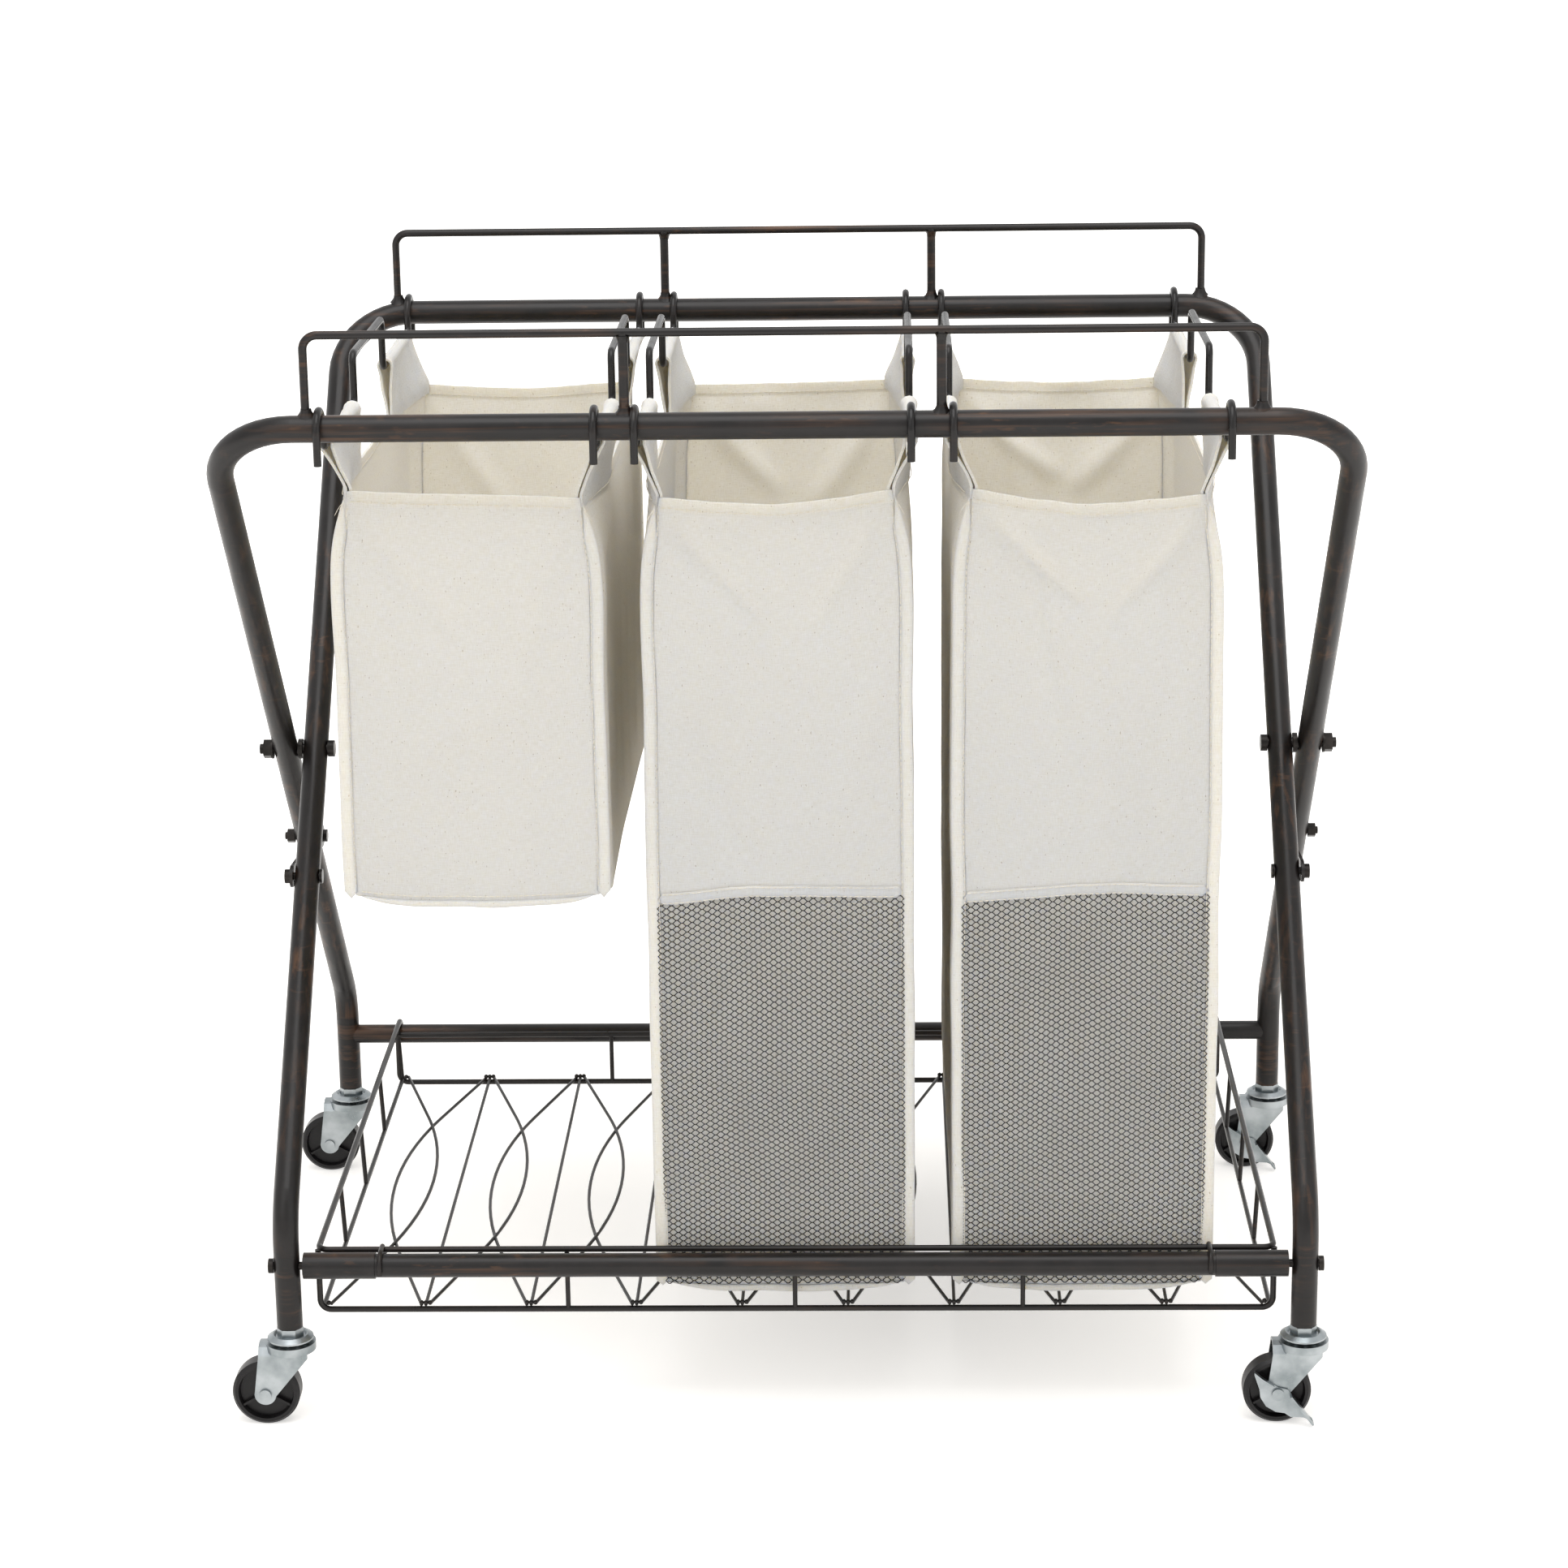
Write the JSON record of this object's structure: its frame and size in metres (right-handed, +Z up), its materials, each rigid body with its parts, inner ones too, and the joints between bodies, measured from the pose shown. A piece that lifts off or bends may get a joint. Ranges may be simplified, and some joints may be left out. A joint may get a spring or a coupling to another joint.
{
  "type": "laundry sorter on casters",
  "caption": "Crossed bronze-coated tube frame on swivel casters, with cloth laundry bags on wire hangers, guard rails above both rails and a wire shelf below.",
  "frame": {"origin": "on the floor, under the middle of the crossed frame, at the point 'floor_centre'", "axes": "X along the rails, +X to the right seen from the front; Y from the front to the rear; +Z up"},
  "size_m": [0.8573, 0.562, 0.8155],
  "materials": {
    "bronze_coat": "satin black-bronze coat with rubbed copper streaks",
    "black_hardware": "black oxide bolts, nuts and washers",
    "zinc_plate": "bright zinc plated stampings",
    "wheel_plastic": "moulded black plastic",
    "black_plastic": "moulded plugs in the leg ends",
    "canvas": "natural cream cotton canvas with small flecks",
    "net": "black open net"
  },
  "bodies": {
    "frame": {"caster_stem_front_left": "zinc_plate", "caster_stem_front_right": "zinc_plate", "caster_stem_rear_left": "zinc_plate", "caster_stem_rear_right": "zinc_plate", "crossbar_screws": "black_hardware", "front_crossbar": "bronze_coat", "front_crossbar_sleeve_left": "bronze_coat", "front_crossbar_sleeve_right": "bronze_coat", "front_guard_rail": "bronze_coat", "inner_frame_tube": "bronze_coat", "leg_end_plugs": "black_plastic", "lock_bar_bolts": "black_hardware", "lock_bar_nuts": "black_hardware", "lock_bar_studs": "black_hardware", "outer_frame_tube": "bronze_coat", "pivot_bolts": "black_hardware", "pivot_nuts": "black_hardware", "pivot_washers": "black_hardware", "rear_crossbar": "bronze_coat", "rear_guard_rail": "bronze_coat", "shelf_floor_wires": "bronze_coat", "shelf_rim": "bronze_coat", "swivel_bearing_front_left": "zinc_plate", "swivel_bearing_front_right": "zinc_plate", "swivel_bearing_rear_left": "zinc_plate", "swivel_bearing_rear_right": "zinc_plate"},
    "fork_front_left": {"caster_fork_front_left": "zinc_plate", "wheel_axle_front_left": "zinc_plate"},
    "wheel_front_left": {"wheel_front_left": "wheel_plastic"},
    "fork_front_right": {"caster_fork_front_right": "zinc_plate", "wheel_axle_front_right": "zinc_plate"},
    "wheel_front_right": {"wheel_front_right": "wheel_plastic"},
    "brake_front_right": {"brake_lever_front_right": "zinc_plate"},
    "fork_rear_left": {"caster_fork_rear_left": "zinc_plate", "wheel_axle_rear_left": "zinc_plate"},
    "wheel_rear_left": {"wheel_rear_left": "wheel_plastic"},
    "fork_rear_right": {"caster_fork_rear_right": "zinc_plate", "wheel_axle_rear_right": "zinc_plate"},
    "wheel_rear_right": {"wheel_rear_right": "wheel_plastic"},
    "brake_rear_right": {"brake_lever_rear_right": "zinc_plate"},
    "bag_left_set": {"bag_left": "canvas", "hanger_left_left": "bronze_coat", "hanger_left_right": "bronze_coat"},
    "bag_middle_set": {"bag_middle": "canvas", "hanger_middle_left": "bronze_coat", "hanger_middle_right": "bronze_coat", "mesh_pocket_middle": "net"},
    "bag_right_set": {"bag_right": "canvas", "hanger_right_left": "bronze_coat", "hanger_right_right": "bronze_coat", "mesh_pocket_right": "net"},
    "lock_left": {"lock_bar_left": "bronze_coat"},
    "lock_right": {"lock_bar_right": "bronze_coat"}
  },
  "joints": [
    {"name": "bag_left_lift", "type": "slide", "parent": "frame", "child": "bag_left_set", "axis": [0, 0, 1], "range_m": [0, 0.04]},
    {"name": "bag_middle_lift", "type": "slide", "parent": "frame", "child": "bag_middle_set", "axis": [0, 0, 1], "range_m": [0, 0.04]},
    {"name": "bag_right_lift", "type": "slide", "parent": "frame", "child": "bag_right_set", "axis": [0, 0, 1], "range_m": [0, 0.04]},
    {"name": "lock_left_lift", "type": "hinge", "parent": "frame", "child": "lock_left", "pos_m": [-0.385, 0.084, 0.3527], "axis": [-1, 0, 0], "range_deg": [0, 34]},
    {"name": "lock_right_lift", "type": "hinge", "parent": "frame", "child": "lock_right", "pos_m": [0.385, 0.084, 0.3527], "axis": [-1, 0, 0], "range_deg": [0, 34]},
    {"name": "swivel_front_left", "type": "hinge", "parent": "frame", "child": "fork_front_left", "pos_m": [-0.3735, -0.256, 0.0635], "axis": [0, 0, 1], "continuous": true},
    {"name": "roll_front_left", "type": "hinge", "parent": "fork_front_left", "child": "wheel_front_left", "pos_m": [-0.3925, -0.256, 0.025], "axis": [0, 1, 0], "continuous": true},
    {"name": "swivel_front_right", "type": "hinge", "parent": "frame", "child": "fork_front_right", "pos_m": [0.3735, -0.256, 0.0635], "axis": [0, 0, 1], "continuous": true},
    {"name": "roll_front_right", "type": "hinge", "parent": "fork_front_right", "child": "wheel_front_right", "pos_m": [0.3545, -0.256, 0.025], "axis": [0, 1, 0], "continuous": true},
    {"name": "brake_front_right_lift", "type": "hinge", "parent": "fork_front_right", "child": "brake_front_right", "pos_m": [0.3545, -0.256, 0.025], "axis": [0, -1, 0], "range_deg": [0, 25]},
    {"name": "swivel_rear_left", "type": "hinge", "parent": "frame", "child": "fork_rear_left", "pos_m": [-0.3965, 0.256, 0.0635], "axis": [0, 0, 1], "continuous": true},
    {"name": "roll_rear_left", "type": "hinge", "parent": "fork_rear_left", "child": "wheel_rear_left", "pos_m": [-0.4155, 0.256, 0.025], "axis": [0, 1, 0], "continuous": true},
    {"name": "swivel_rear_right", "type": "hinge", "parent": "frame", "child": "fork_rear_right", "pos_m": [0.3965, 0.256, 0.0635], "axis": [0, 0, 1], "continuous": true},
    {"name": "roll_rear_right", "type": "hinge", "parent": "fork_rear_right", "child": "wheel_rear_right", "pos_m": [0.3775, 0.256, 0.025], "axis": [0, 1, 0], "continuous": true},
    {"name": "brake_rear_right_lift", "type": "hinge", "parent": "fork_rear_right", "child": "brake_rear_right", "pos_m": [0.3775, 0.256, 0.025], "axis": [0, -1, 0], "range_deg": [0, 25]}
  ]
}
